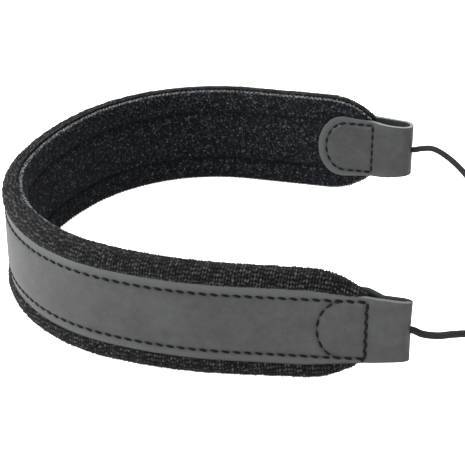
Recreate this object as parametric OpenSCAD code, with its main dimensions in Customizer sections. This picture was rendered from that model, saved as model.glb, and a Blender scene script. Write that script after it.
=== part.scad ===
// Saxophone neck strap: a padded collar with a leather strap, a cord and a snap hook.
// Millimetres, +Z up. The collar stands on its lower edge and opens towards +X.
// The origin is on the floor, under the middle of the collar's box.

/* [Pad] */
// Height of the padded collar, edge to edge
pad_height = 50; // [42:1:66]
// Radius of the rolled edge along the top and the bottom
rim_radius = 5.1; // [4.6:0.1:6]
// How flat the lower edge lies where it rests
rest_flat = 0.3; // [0.1:0.1:0.6]
// Distance from the middle surface to the knit under the leather
cover_face = 2.9; // [2.6:0.1:3.6]
// Distance from the middle surface to the inner face of the lining
lining_face = 4.2; // [4.1:0.1:4.5]
// Distance from the middle surface to the seam between knit and lining
seam_plane = 2.7; // [2.4:0.1:3]
// Thickness of the knit cover
cover_wall = 1.5; // [1:0.1:1.8]
// Clearance between the foam core and the cloth round it
foam_gap = 0.08; // [0.02:0.01:0.2]
// Thickness of the overlocked seam
seam_width = 1.3; // [1:0.1:1.4]
// Radius of the pad's rounded ends, seen from the side
shoulder_radius = 34; // [28:1:44]
// Length over which each end is rounded
shoulder_length = 24; // [18:1:28]
// How far each edge of the pad has come in at the end of the front arm, before its shoulder
narrowing = 1.6; // [0:0.1:3]
// Length over which the front arm narrows
narrowing_length = 110; // [60:5:140]

/* [Bend] */
// Back arm: radius and angle of each bend, from the middle of the collar outwards
back_bends = [[152.7, 21.4], [87.3, 28.2], [71.7, 42.8]];
// Length of the straight end of the back arm, to the tip of its loop
back_straight = 85; // [78:1:100]
// Front arm: radius and angle of each bend, from the middle of the collar outwards
front_bends = [[88.5, 50.4], [78, 25.9], [153.7, 19.9]];
// Length of the straight end of the front arm, to the tip of its loop
front_straight = 71.1; // [68:0.1:90]

/* [Leather] */
// Thickness of the leather
leather = 1.8; // [1.4:0.1:2.2]
// Width of the leather strap along the pad
strap_width = 33.6; // [30:0.2:36]
// Width of the leather strap at the tip of each loop
tip_width = 26; // [24:0.5:30]
// Length over which the strap narrows
taper_length = 42; // [30:1:44]
// Length of the back arm's folded tab, from its round end to the tip of the loop
back_tab = 47.8; // [44:0.2:58]
// Length of the front arm's folded tab, from its round end to the tip of the loop
front_tab = 41; // [40:0.5:54]
// Length of the round end of each tab
tab_end = 14; // [12:0.2:16.8]
// Length of the back arm's loop past the end of the pad
back_loop = 20; // [17:0.5:24]
// Length of the front arm's loop past the end of the pad
front_loop = 17.6; // [17:0.1:24]
// How far the tab is pressed into the lining
tab_sink = 0.7; // [0.3:0.1:1]
// Clearance between the leather and the pad
leather_gap = 0.03; // [0.02:0.01:0.1]
// Clearance round the edges of the leather
edge_gap = 0.1; // [0.08:0.01:0.3]

/* [Stitching] */
// Distance from a stitched row to the edge of the leather
row_inset = 4; // [3:0.2:5]
// Distance from one stitch to the next
stitch_pitch = 4.3; // [4:0.1:6]
// Length of one stitch
stitch_length = 2.8; // [2.5:0.1:3.6]
// Width of the thread
thread = 0.8; // [0.6:0.1:1]
// Height of a stitch above the leather
stitch_rise = 0.4; // [0.3:0.1:0.6]
// Slant of a stitch against its row
stitch_slant = 12; // [0:1:15]

/* [Cord] */
// Diameter of the cord
cord_d = 3; // [2.6:0.1:3.2]
// Clearance round the cord in its holes
cord_gap = 0.2; // [0.1:0.05:0.4]
// Diameter of the stopper knot in each loop
knot_d = 5.8; // [5:0.1:5.8]

/* [Adjuster] */
// Length of the sliding adjuster
slider_length = 22; // [16:1:26]
// Width of the sliding adjuster
slider_width = 15; // [12:1:20]

/* [Hook] */
// Thickness of the swivel eye's wire
eye_wire = 2; // [1.8:0.1:2]
// Radius of the middle of the swivel eye's ring
eye_radius = 3.6; // [3.6:0.1:4]
// Radius of the swivel shank
shank_r = 1.5; // [1.2:0.1:1.6]
// Radius of the peened head on the shank
head_r = 2.6; // [2.2:0.1:2.8]
// Radius of the inside of the hook's bow
bow_r = 6.5; // [6.5:0.1:7]
// Width of the hook's bow
bow_w = 4.5; // [3.5:0.1:5]
// Thickness of the hook's bow
bow_t = 5.5; // [4:0.1:7]
// Thickness of the hook's base
base_t = 8; // [7.6:0.1:9]
// Thickness of the gate
gate_t = 3.6; // [3.4:0.1:3.8]
// Radius of the gate's pin
pin_r = 1; // [0.8:0.05:1.1]
// Radial clearance of a turning fit
run_gap = 0.06; // [0.03:0.01:0.1]

/* [Hidden] */
$fn = 64;

mid = pad_height / 2;
core_r = rim_radius - cover_wall;
core_face = cover_face - cover_wall;
row_offset = strap_width / 2 - row_inset;
leather_face = cover_face + leather;
tab_face = lining_face - tab_sink;
fold_outer = (leather_face + tab_face + leather) / 2;
fold_inner = fold_outer - leather;
fold_n = leather_face - fold_outer;
seam_r = seam_width / 2;
// The seam's place, and the first n of the cover's, the core's and the lining's outlines
seam_n = -seam_plane - 0.1;
seam_z = 1;
notch_out = 1.7;
notch_in = 3.8;
core_start = 0.1;
low_rim = rim_radius - rest_flat;

// The collar is drawn from the middle of its bend, travelling along +Y, then moved to apex
function bend_start(bends, i) = i == 0 ? [0, 0, 90] :
    let (s = bend_start(bends, i - 1), r = bends[i - 1][0], a = bends[i - 1][1]) turned(s, r, a);
function turned(s, r, a) = let (h = s[2])
    [s.x + r * (cos(h - 90) + cos(h + 90 - a)), s.y + r * (sin(h - 90) + sin(h + 90 - a)), h - a];
function bend_length(bend) = bend[0] * bend[1] * PI / 180;
function arm_length(bends, straight, i = 0) =
    i == len(bends) ? straight : bend_length(bends[i]) + arm_length(bends, straight, i + 1);
// Place and heading at a distance along an arm
function walk(bends, s, i = 0) = let (p = bend_start(bends, i))
    i == len(bends) ? [p.x + s * cos(p[2]), p.y + s * sin(p[2]), p[2]]
    : s <= bend_length(bends[i]) ? turned(p, bends[i][0], s / bend_length(bends[i]) * bends[i][1])
    : walk(bends, s - bend_length(bends[i]), i + 1);
function tip_x(bends, straight) = let (s = bend_start(bends, len(bends)), h = s[2])
    s.x + (straight - fold_outer) * cos(h) - fold_n * sin(h) + fold_outer;
function crest_y(bends) = let (n = len(bends) - 1, s = bend_start(bends, n))
    s.y + bends[n][0] * (1 + sin(s[2] - 90)) + rim_radius;
reach = max(tip_x(back_bends, back_straight), tip_x(front_bends, front_straight));
apex = [(rim_radius - reach) / 2, (crest_y(front_bends) - crest_y(back_bends)) / 2];
back_length = arm_length(back_bends, back_straight);
front_length = arm_length(front_bends, front_straight);

// A point of the collar: s along the middle surface, minus on the back arm, n outwards, z up
function spot(s, n, z) = let (q = s < 0 ? walk(back_bends, -s) : walk(front_bends, s))
    [apex.x + q.x - n * sin(q[2]), apex.y + (s < 0 ? 1 : -1) * (q.y + n * cos(q[2])), z];
// Distance from the tip of the nearer loop
function to_tip(s) = s < 0 ? back_length + s : front_length - s;

// The cord and hook lie along +X, at one height above the floor
axis_z = eye_radius + eye_wire / 2;
run_y = eye_wire / 2 + cord_d / 2 + cord_gap;
slider_x = 154;
eye_x = 256;
bight_x = eye_x - eye_radius;
barrel_x = 261.4;
barrel_end = 266;
window_end = 268.4;
bow_x = 290;
bow_end = 62;
pivot = [272, 4.2];
slot_t = gate_t + 0.4;
hub_r = 3;
hub_t = 2.2;

// Route of the cord from the back knot, down to the floor and to the adjuster
back_route = [[73.7, 94.1, 25], [79.4, 93.9, 25], [83.3, 93.1, 26.3], [89.7, 91.2, 27.4],
              [97.7, 88.2, 24.4], [105.7, 83.3, 19.5], [112, 77, 14.5], [118, 68.5, 9.5],
              [122, 56, 3.5], [125, 43, 1.7], [128, 30, 1.7], [133, 17, 1.8], [141, 6.5, 3]];
// Route of the cord from the front knot, down to the floor and to the adjuster
front_route = [[91.1, -89.5, 25], [96.9, -88.9, 25], [100.7, -88.6, 23.8], [106.7, -87.9, 22.7],
               [112.7, -86.7, 22.7], [119.4, -84.4, 22.2], [128, -77, 15.5], [134, -66, 7.2],
               [135, -54, 2.4], [134, -41, 1.7], [134, -28, 1.7], [137, -15, 1.8], [143, -6, 3.2]];
// Stations of the two straight runs through the adjuster
run_x = [153, 162, 171, 181, 192, 203, 214, 225, 234, 242, 248];
bight_steps = 6;
bight = [for (i = [0:bight_steps]) let (a = 90 - 180 * i / bight_steps)
         [bight_x + run_y * cos(a), run_y * sin(a), axis_z]];
function backwards(v) = [for (i = [len(v) - 1:-1:0]) v[i]];
cord_points = concat(back_route, [for (x = run_x) [x, run_y, axis_z]], bight,
                     backwards([for (x = run_x) [x, -run_y, axis_z]]), backwards(front_route));

// A smooth curve through the points, with extra stations on the long spans
function smooth(p0, p1, p2, p3, t) = 0.5 * (2 * p1 + (p2 - p0) * t
    + (2 * p0 - 5 * p1 + 4 * p2 - p3) * t * t + (3 * p1 - p0 - 3 * p2 + p3) * t * t * t);
function curve(p, step) = let (last = len(p) - 1)
    concat([for (i = [0:last - 1]) let (
                n = max(1, floor(norm(p[i + 1] - p[i]) / step)),
                before = p[max(i - 1, 0)], after = p[min(i + 2, last)])
            for (j = [0:n - 1]) smooth(before, p[i], p[i + 1], after, j / n)], [p[last]]);
function unit(v) = v / norm(v);
function along(p, i) = unit(p[min(i + 1, len(p) - 1)] - p[max(i - 1, 0)]);

// A tube of straight-sided rings swept along the points
module tube(p, d, sides) skin([for (i = [0:len(p) - 1]) let (
        t = along(p, i), side = unit(cross([0, 0, 1], t)), up = cross(t, side))
        [for (k = [0:sides - 1]) let (a = 360 * k / sides) p[i] + d / 2 * (cos(a) * side + sin(a) * up)]]);

// A closed skin over rings of points; a ring is two rows, out and back, so its ends close as a ladder
module skin(rings) {
    n = len(rings[0]);
    last = (len(rings) - 1) * n;
    function ladder(base, flip) = [for (k = [0:n / 2 - 2])
        let (f = [base + k, base + k + 1, base + n - 2 - k, base + n - 1 - k]) flip ? backwards(f) : f];
    faces = concat(ladder(0, false), ladder(last, true),
        [for (i = [0:len(rings) - 2]) for (k = [0:n - 1]) let (m = (k + 1) % n)
         [i * n + k, (i + 1) * n + k, (i + 1) * n + m, i * n + m]]);
    polyhedron(points = [for (r = rings) each r], faces = faces, convexity = 10);
}

// Moves to the start of a straight end: local X runs to the tip, Y outwards from the collar
module at_straight(bends) {
    s = bend_start(bends, len(bends));
    translate([s.x, s.y, 0]) rotate([0, 0, s[2]]) children();
}

// Draws the same thing on the back arm and, mirrored, on the front arm
module back_arm() translate(apex) children();
module front_arm() translate(apex) mirror([0, 1, 0]) children();

// Half height of the strap and of the folded tab at a distance u from the tip of the loop
function strap_half(u) = strap_width / 2 - max(0, 1 - u / taper_length) * (strap_width - tip_width) / 2;
function tab_half(u, tab) = let (x = (tab - u) / tab_end)
    x <= 0 ? 0.1
    : x < 1 ? max(0.1, min(strap_half(u), strap_width / 2 * sqrt(1 - (1 - x) * (1 - x)))) : strap_half(u);
// The loop's length on the arm where s lies, and how far the shoulder of the pad has come down there
function loop_at(s) = s < 0 ? back_loop : front_loop;
function drop(s) = let (v = to_tip(s) - loop_at(s), x = max(0, shoulder_length - v))
    shoulder_radius - sqrt(shoulder_radius * shoulder_radius - x * x)
    + (s > 0 ? narrowing * max(0, 1 - v / narrowing_length) : 0);

// Stations along the pad, close together on the shoulders and round the end of the tab
tab_steps = [0, 1, 3, 6, 10];
function near_steps(loop, tab) = concat([for (u = [loop:3:tab - 11.4]) u],
                                        [for (x = backwards(tab_steps)) tab - x]);
back_steps = near_steps(back_loop, back_tab);
front_steps = near_steps(front_loop, front_tab);
middle_start = back_tab + 3 - back_length;
middle_count = 42;
middle_gap = (front_length - front_tab - 3 - middle_start) / middle_count;
stations = concat([for (u = back_steps) u - back_length],
    [for (i = [0:middle_count]) middle_start + middle_gap * i],
    [for (u = backwards(front_steps)) front_length - u]);

// Half an outline across the pad, from the seam round the rolled edge to the middle.
// c and r are the rolled edge, start its first n; over edge the face steps in to pocket.
lobe_steps = [0, 0.25, 0.48, 0.73, 1];
function half_outline(c, r, start, bulge, pocket, edge) = let (
        first = -acos(start / r),
        last = max(-acos(pocket / r), min(asin(max(-1, min(1, (edge - c) / r))), acos(bulge / r))),
        top = c + r * sin(last))
    concat([for (t = lobe_steps) let (a = first + (last - first) * t) [r * cos(a), max(0, c + r * sin(a))]],
        [[r * cos(last), max(top + 0.02, edge - 0.05)], [pocket, max(top + 0.04, edge)], [pocket, mid]]);
function flipped(outline) = [for (q = backwards(outline)) [q.x, 2 * mid - q.y]];
function whole(low, high) = concat(low, [for (i = [1:len(high) - 1]) flipped(high)[i]]);
function outline(d, r, start, bulge, pocket, half) = let (edge = min(mid - half, mid - 0.1))
    whole(half_outline(low_rim + d, r, start, bulge, pocket, edge),
          half_outline(rim_radius + d, r, start, bulge, pocket, edge));

// The faces of the pad's layers at a station
function cover_line(s) = outline(drop(s), rim_radius, -notch_out, cover_face, cover_face,
                                 strap_half(to_tip(s)) + edge_gap);
function core_line(s, gap) = outline(drop(s), core_r - gap, core_start - seam_plane, core_face - gap,
                                     core_face - gap, strap_half(to_tip(s)) + edge_gap + cover_wall + gap);
function lining_line(s) = let (u = to_tip(s), tab = s < 0 ? back_tab : front_tab,
                               pocket = u <= tab + 0.001 ? tab_face : lining_face)
    [for (q = outline(drop(s), rim_radius, notch_in, lining_face, pocket, tab_half(u, tab) + edge_gap))
     [-q.x, q.y]];
// The back of the core or the lining: a straight line with as many points as the core's
function plane_line(s, gap = 0) = let (
        line = core_line(s, gap), n = len(line) - 1, low = line[0].y, high = line[n].y)
    [for (i = [0:n]) [gap - seam_plane, low + (high - low) * i / n]];
function ring(s, there, back) = [for (q = concat(there, backwards(back))) spot(s, q.x, q.y)];

pad_back = back_loop - back_length;
pad_front = front_length - front_loop;
function inner_stations(wall) = concat([pad_back + wall], [for (i = [1:len(stations) - 2]) stations[i]],
                                       [pad_front - wall]);

module pad_core() color([0.25, 0.25, 0.27])
    skin([for (s = inner_stations(cover_wall + foam_gap))
          ring(s, core_line(s, foam_gap), plane_line(s, foam_gap))]);

// The cover wraps the core and closes over both of its ends
module outer_cover() color([0.1, 0.1, 0.11]) {
    cap_step = 0.05;
    capped = [for (s = [pad_back, pad_back + cover_wall - cap_step])
              ring(s, cover_line(s), plane_line(s))];
    open = [for (s = inner_stations(cover_wall)) ring(s, cover_line(s), core_line(s, 0))];
    far = [for (s = [pad_front - cover_wall + cap_step, pad_front])
           ring(s, cover_line(s), plane_line(s))];
    skin(concat(capped, open, far));
}

module lining() color([0.12, 0.12, 0.13])
    skin([for (s = stations) ring(s, plane_line(s), lining_line(s))]);

// A seam follows the edge of the pad, in the notch between cover and lining
module seam(top) {
    function height(s) = top ? pad_height - seam_z - drop(s) : seam_z + drop(s);
    skin([for (s = stations) [for (k = [0:7])
        spot(s, seam_n + seam_r * cos(45 * k), height(s) + seam_r * sin(45 * k))]]);
}
module upper_edge_seam() color([0.45, 0.46, 0.48]) seam(true);
module lower_edge_seam() color([0.45, 0.46, 0.48]) seam(false);

// Sections of the strap on one arm, from the middle of the collar, round the loop, to the end of the
// tab: [s, n] of the outer corner, [s, n] of the inner corner, half height
fold_turns = 10;
fold_start = 10;
inside_start = 12;
function strap_sections(way, length, steps, tab) = let (centre = length - fold_outer)
    concat([for (s = way < 0 ? backwards(stations) : stations) if (s * way >= 0 && s * way < length - tab - 1)
            [[abs(s), leather_face], [abs(s), cover_face + leather_gap], strap_half(length - abs(s))]],
        [for (u = concat(backwards(steps), [fold_start]))
            [[length - u, leather_face], [length - u, cover_face + leather_gap], strap_half(u)]],
        [for (i = [0:fold_turns]) let (a = 180 * i / fold_turns, reach = centre + fold_outer * sin(a))
            [[reach, fold_n + fold_outer * cos(a)],
             [centre + fold_inner * sin(a), fold_n + fold_inner * cos(a)], strap_half(length - reach)]],
        [for (u = concat([inside_start], steps))
            [[length - u, -tab_face - leather], [length - u, -tab_face - leather_gap], tab_half(u, tab)]]);
function strap_ring(section, way) = let (o = section[0], i = section[1], h = section[2])
    [spot(way * o.x, o.y, mid - h), spot(way * o.x, o.y, mid + h),
     spot(way * i.x, i.y, mid + h), spot(way * i.x, i.y, mid - h)];
module cord_hole(straight) translate([straight - fold_outer, fold_n, mid]) rotate([0, 90, 0])
    rotate([0, 0, 20]) cylinder(r = cord_d / 2 + cord_gap, h = 2 * fold_outer);

module leather_strap() color([0.36, 0.36, 0.37]) difference() {
    skin(concat(
        [for (q = backwards(strap_sections(-1, back_length, back_steps, back_tab))) strap_ring(q, -1)],
        [for (q = strap_sections(1, front_length, front_steps, front_tab)) strap_ring(q, 1)]));
    back_arm() at_straight(back_bends) cord_hole(back_straight);
    front_arm() at_straight(front_bends) cord_hole(front_straight);
}

// One stitch lying on a face, with its length along X
module stitch(slant) rotate([0, -slant, 0]) translate([-stitch_length / 2, 0, -thread / 2])
    cube([stitch_length, stitch_rise, thread]);

// A row of stitches along one arm, at a height on the outer face
module row_arm(bends, straight, loop, z, slant) {
    for (i = [0:len(bends) - 1]) {
        s = bend_start(bends, i);
        r = bends[i][0];
        a = bends[i][1];
        count = round(a * PI / 180 * r / stitch_pitch);
        translate([s.x + r * cos(s[2] - 90), s.y + r * sin(s[2] - 90), z])
            for (j = [0:count - 1])
                rotate([0, 0, s[2] + 90 - a * (j + 0.5) / count])
                translate([r + leather_face, 0, 0]) rotate([0, 0, -90]) stitch(slant);
    }
    count = floor((straight - loop) / stitch_pitch);
    at_straight(bends) for (j = [0:count - 1])
        translate([(j + 0.5) * stitch_pitch, leather_face, z]) stitch(slant);
}
module row(z) {
    back_arm() row_arm(back_bends, back_straight, back_loop, z, stitch_slant);
    front_arm() row_arm(front_bends, front_straight, front_loop, z, -stitch_slant);
}
module upper_stitching() color([0.05, 0.05, 0.05]) row(mid + row_offset);
module lower_stitching() color([0.05, 0.05, 0.05]) row(mid - row_offset);

// Stitches round the tab: a rounded end, closed by a straight row beside the loop
module tab_stitches(straight, loop, tab) {
    row_end = straight - loop;
    centre = straight - tab + tab_end;
    end_row = tab_end - row_inset;
    arc_count = round(PI * (row_offset + end_row) / 2 / stitch_pitch);
    end_count = floor(2 * (row_offset - thread) / stitch_pitch);
    level_count = floor((row_end - centre) / stitch_pitch);
    inner_face = -tab_face - leather - stitch_rise;
    // On the outer face the level rows are the strap's own
    for (face = [leather_face, inner_face]) {
        for (j = [1:arc_count - 2]) {
            a = 90 + 180 * (j + 0.5) / arc_count;
            translate([centre + end_row * cos(a), face, mid + row_offset * sin(a)])
                rotate([0, 90 - atan2(end_row * sin(a), row_offset * cos(a)), 0]) stitch(0);
        }
        for (j = [0:end_count - 1])
            translate([row_end, face, mid + (j + 0.5 - end_count / 2) * stitch_pitch])
                rotate([0, 90, 0]) stitch(0);
    }
    for (j = [0:level_count - 1], up = [-1, 1])
        translate([centre + (j + 0.5) * stitch_pitch, inner_face, mid + up * row_offset]) stitch(0);
}
module front_tab_stitching() color([0.05, 0.05, 0.05])
    front_arm() at_straight(front_bends) tab_stitches(front_straight, front_loop, front_tab);
module back_tab_stitching() color([0.05, 0.05, 0.05])
    back_arm() at_straight(back_bends) tab_stitches(back_straight, back_loop, back_tab);

module knot(straight) translate([straight - fold_outer, fold_n, mid]) sphere(d = knot_d);
module front_knot() color([0.1, 0.09, 0.11]) front_arm() at_straight(front_bends) knot(front_straight);
module back_knot() color([0.1, 0.09, 0.11]) back_arm() at_straight(back_bends) knot(back_straight);

module cord() color([0.1, 0.08, 0.12]) tube(curve(cord_points, 2.6 * cord_d), cord_d, 8);

// The adjuster: a rounded block on both runs of the cord
module adjuster() color([0.08, 0.08, 0.08]) translate([slider_x, 0, axis_z]) difference() {
    rotate([90, 0, 90]) linear_extrude(slider_length) union() {
        square([slider_width - 2 * axis_z, 2 * axis_z], center = true);
        for (y = [-1, 1]) translate([y * (slider_width / 2 - axis_z), 0]) circle(axis_z);
    }
    for (y = [-run_y, run_y]) translate([0, y, 0]) rotate([0, 90, 0]) {
        translate([0, 0, -1]) cylinder(r = cord_d / 2 + cord_gap, h = slider_length + 2);
        for (z = [0, slider_length]) translate([0, 0, z])
            mirror([0, 0, z > 0 ? 1 : 0]) cylinder(r1 = cord_d / 2 + 3 * cord_gap, r2 = cord_d / 2, h = 1);
    }
}

module on_axis(x) translate([x, 0, axis_z]) rotate([0, 90, 0]) children();

module swivel_eye() color([0.75, 0.75, 0.76]) {
    translate([eye_x, 0, axis_z]) rotate([90, 0, 0])
        rotate_extrude() translate([eye_radius, 0]) circle(eye_wire / 2);
    shank_start = eye_x + eye_radius + 0.3;
    on_axis(shank_start) cylinder(r = shank_r, h = barrel_end + 0.4 - shank_start);
    on_axis(barrel_x - 1.1) cylinder(r = head_r - 0.2, h = 1);
    on_axis(barrel_end + 0.1) cylinder(r = head_r, h = 1.4);
}

// Outline of the block that carries the swivel, seen from above
module base_outline() polygon([[barrel_end - 1, -4.6], [268, -8], [271, -bow_r - bow_w],
    [278, -bow_r - bow_w], [278, -bow_r], [277, -3], [275.5, 0], [275.5, 7.6], [268, 7.6],
    [barrel_end - 1, 4.6]]);

// The hook's bow, from the spine round to its nose
module bow_outline() {
    translate([277, -bow_r - bow_w]) square([bow_x - 277, bow_w]);
    translate([bow_x, 0]) intersection() {
        difference() {
            circle(bow_r + bow_w);
            circle(bow_r);
        }
        polygon([[0, 0], [0, -30], [30, -30], [30, 0], 30 * [cos(bow_end), sin(bow_end)]]);
    }
}

module hook_body() color([0.72, 0.72, 0.74]) difference() {
    union() {
        on_axis(barrel_x) cylinder(r = axis_z, h = barrel_end - barrel_x);
        translate([0, 0, axis_z - base_t / 2]) linear_extrude(base_t) base_outline();
        translate([0, 0, axis_z - bow_t / 2]) linear_extrude(bow_t) bow_outline();
    }
    on_axis(barrel_x - 1) cylinder(r = shank_r + run_gap, h = barrel_end - barrel_x + 2);
    translate([barrel_end, -3, 0]) cube([window_end - barrel_end, 6, 2 * axis_z]);
    translate([window_end + 0.4, -1.6, axis_z - slot_t / 2]) cube([12, 12, slot_t]);
    translate([pivot.x, pivot.y, 0]) cylinder(r = pin_r + 0.02, h = 2 * axis_z);
}

// The gate turns on its pin; its lip closes inside the hook's nose
module gate_outline() polygon([[pivot.x, pivot.y + 2.7], [290.6, 9.2], [292, 8.9], [292.6, 8],
    [292.6, 5.4], [293.3, 5.1], [294.3, 4.2], [294.6, 3], [284, 2.9], [pivot.x + 1, pivot.y - 2.4]]);
module gate() color([0.78, 0.78, 0.8]) difference() {
    union() {
        translate([pivot.x, pivot.y, axis_z - gate_t / 2]) cylinder(r = hub_r, h = hub_t);
        difference() {
            translate([0, 0, axis_z - gate_t / 2]) linear_extrude(gate_t) gate_outline();
            translate([pivot.x, pivot.y, axis_z - gate_t / 2 + hub_t])
                cylinder(r = hub_r + 0.4, h = gate_t);
        }
    }
    translate([pivot.x, pivot.y, 0]) cylinder(r = pin_r + run_gap, h = 2 * axis_z);
}

module gate_pin() color([0.6, 0.6, 0.62]) translate([pivot.x, pivot.y, axis_z - base_t / 2])
    cylinder(r = pin_r, h = base_t);

// Two turns of wire round the pin, with a leg to the wall of the slot
spring_wire = 0.5;
spring_pitch = 0.55;
spring_r = pin_r + 0.9;
spring_z = axis_z - gate_t / 2 + hub_t + 0.1 + spring_wire / 2;
module gate_spring() color([0.7, 0.7, 0.66]) {
    for (turn = [0, 1]) translate([pivot.x, pivot.y, spring_z + spring_pitch * turn])
        rotate_extrude() translate([spring_r, 0]) circle(spring_wire / 2);
    translate([pivot.x, pivot.y - spring_r, spring_z]) rotate([90, 0, 0])
        cylinder(r = spring_wire * 0.44, h = pivot.y - spring_r + 1.5);
}

pad_core();
outer_cover();
lining();
upper_edge_seam();
lower_edge_seam();
leather_strap();
upper_stitching();
lower_stitching();
front_tab_stitching();
back_tab_stitching();
front_knot();
back_knot();
cord();
adjuster();
swivel_eye();
hook_body();
gate();
gate_pin();
gate_spring();
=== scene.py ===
# A saxophone neck strap: a padded collar with a stitched leather strap, a cord, an adjuster and a snap hook.
# Each soft piece is made flat, as it is cut and sewn, and is then laid along the bend of the collar.
import math

import bmesh
import bpy
import numpy as np
from mathutils import Matrix, Vector, noise


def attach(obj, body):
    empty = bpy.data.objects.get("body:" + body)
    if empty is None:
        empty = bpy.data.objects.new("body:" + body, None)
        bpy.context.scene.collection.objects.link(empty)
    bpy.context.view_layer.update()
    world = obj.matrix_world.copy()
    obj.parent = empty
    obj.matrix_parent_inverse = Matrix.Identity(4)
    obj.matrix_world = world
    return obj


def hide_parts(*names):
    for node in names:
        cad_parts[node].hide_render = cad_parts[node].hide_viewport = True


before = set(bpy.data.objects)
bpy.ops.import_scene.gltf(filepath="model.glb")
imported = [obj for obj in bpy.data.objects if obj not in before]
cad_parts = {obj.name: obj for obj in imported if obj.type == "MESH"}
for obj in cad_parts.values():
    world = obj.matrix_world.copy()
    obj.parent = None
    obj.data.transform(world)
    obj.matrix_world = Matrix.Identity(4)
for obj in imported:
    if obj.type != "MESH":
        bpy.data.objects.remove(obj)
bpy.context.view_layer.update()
scene = bpy.context.scene

# ---------------------------------------------------------------------------------------------------------
# Studio: a white sweep and large soft lights, as for a catalogue. The camera stands at the front, a little
# above the collar, and takes in the collar and the first stretch of the cord.
target = Vector((0.0090, -0.0199, 0.025))
look = Vector((-0.1886, 0.8788, -0.4384)).normalized()
camera = bpy.data.objects.new("camera", bpy.data.cameras.new("camera"))
camera.data.sensor_width = 36
camera.data.angle = math.radians(18.74)
camera.data.clip_start = 0.05
camera.data.clip_end = 20
camera.location = target - look * 0.634
camera.rotation_mode = "QUATERNION"
camera.rotation_quaternion = look.to_track_quat("-Z", "Y")
scene.collection.objects.link(camera)
scene.camera = camera
scene.view_settings.view_transform = "Standard"
scene.view_settings.look = "None"


def linear(hex_colour):
    """Linear RGBA of an sRGB hex colour."""
    values = [int(hex_colour[i:i + 2], 16) / 255 for i in (1, 3, 5)]
    return (*[v / 12.92 if v <= 0.04045 else ((v + 0.055) / 1.055) ** 2.4 for v in values], 1)


def add_node(material, kind, wires, **settings):
    """Adds a shader node. A wire is (input, value) or (input, output of another node)."""
    node = material.node_tree.nodes.new(kind)
    for name, value in settings.items():
        setattr(node, name, value)
    for socket, value in wires:
        if isinstance(value, bpy.types.NodeSocket):
            material.node_tree.links.new(value, node.inputs[socket])
        else:
            node.inputs[socket].default_value = value
    return node


def new_material(name):
    material = bpy.data.materials.new(name)
    material.use_nodes = True
    return material, material.node_tree.nodes["Principled BSDF"], material.node_tree.links


def area_light(name, place, aim, size, power, colour="#ffffff"):
    lamp = bpy.data.objects.new(name, bpy.data.lights.new(name, "AREA"))
    lamp.data.shape = "RECTANGLE"
    lamp.data.size, lamp.data.size_y = size
    lamp.data.energy = power
    lamp.data.color = linear(colour)[:3]
    lamp.location = place
    lamp.rotation_euler = (Vector(aim) - Vector(place)).to_track_quat("-Z", "Y").to_euler()
    scene.collection.objects.link(lamp)


area_light("overhead", (-0.35, 0.25, 1.3), (0, 0, 0), (1.0, 1.0), 24)
area_light("left", (-1.3, -0.7, 0.6), (0, 0, 0.02), (0.8, 0.9), 23)
area_light("front", (0.3, -1.5, 0.8), (0, 0, 0.02), (0.8, 0.6), 12)

# The room behind the lights is white to the eye, but gives only a third of the light
world = bpy.data.worlds.new("studio")
world.use_nodes = True
seen = add_node(world, "ShaderNodeLightPath", [])
glow = add_node(world, "ShaderNodeMapRange", [("Value", seen.outputs["Is Camera Ray"]), ("To Min", 0.34)])
world.node_tree.nodes["Background"].inputs["Color"].default_value = (1, 1, 1, 1)
world.node_tree.links.new(glow.outputs[0], world.node_tree.nodes["Background"].inputs["Strength"])
scene.world = world

# White acrylic, lit from behind, so that it stays paper white
acrylic, shader, links = new_material("white acrylic sweep")
seen = add_node(acrylic, "ShaderNodeLightPath", [])
glow = add_node(acrylic, "ShaderNodeMapRange", [("Value", seen.outputs["Is Camera Ray"]), ("To Min", 0.12)])
shader.inputs["Base Color"].default_value = linear("#f4f4f4")
shader.inputs["Roughness"].default_value = 0.6
shader.inputs["Emission Color"].default_value = (1, 1, 1, 1)
links.new(glow.outputs[0], shader.inputs["Emission Strength"])
bm = bmesh.new()
bmesh.ops.create_grid(bm, x_segments=1, y_segments=1, size=6)
sweep_mesh = bpy.data.meshes.new("sweep")
bm.to_mesh(sweep_mesh)
bm.free()
sweep = bpy.data.objects.new("sweep", sweep_mesh)
sweep.data.materials.append(acrylic)
scene.collection.objects.link(sweep)

# ---------------------------------------------------------------------------------------------------------
# The bend of the collar: three arcs and a straight on each arm, from the middle of the neck outwards.
# A flat piece has x along the collar, minus on the back arm, y out from the middle surface and z up.
mm = 0.001
back_bends, back_straight = ((152.7, 21.4), (87.3, 28.2), (71.7, 42.8)), 85
front_bends, front_straight = ((88.5, 50.4), (78, 25.9), (153.7, 19.9)), 71.1
rim_radius = 5.1 * mm
pad_height = 50 * mm
mid = pad_height / 2
fold_centre = 5.0 * mm  # from the tip of a loop to the middle of its fold


def arm_line(bends, straight):
    """Distance, x, y and heading at every 0.1 mm of an arm, and its length."""
    step = 0.1 * mm
    ends = np.cumsum([0] + [r * mm * math.radians(a) for r, a in bends])
    length = ends[-1] + straight * mm
    s = np.arange(0, length + 30 * mm, step)
    bend = np.zeros_like(s)
    for (radius, _), start, end in zip(bends, ends, ends[1:]):
        bend += np.clip(s + step - start, 0, step) * np.clip(end - s, 0, step) / step / (radius * mm)
    heading = math.pi / 2 - np.concatenate([[0], np.cumsum(bend)[:-1]])
    middle = heading - bend / 2
    x = np.concatenate([[0], np.cumsum(np.cos(middle) * step)[:-1]])
    y = np.concatenate([[0], np.cumsum(np.sin(middle) * step)[:-1]])
    return s, x, y, heading, length


back_arm = arm_line(back_bends, back_straight)
front_arm = arm_line(front_bends, front_straight)
back_length, front_length = back_arm[4], front_arm[4]


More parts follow.
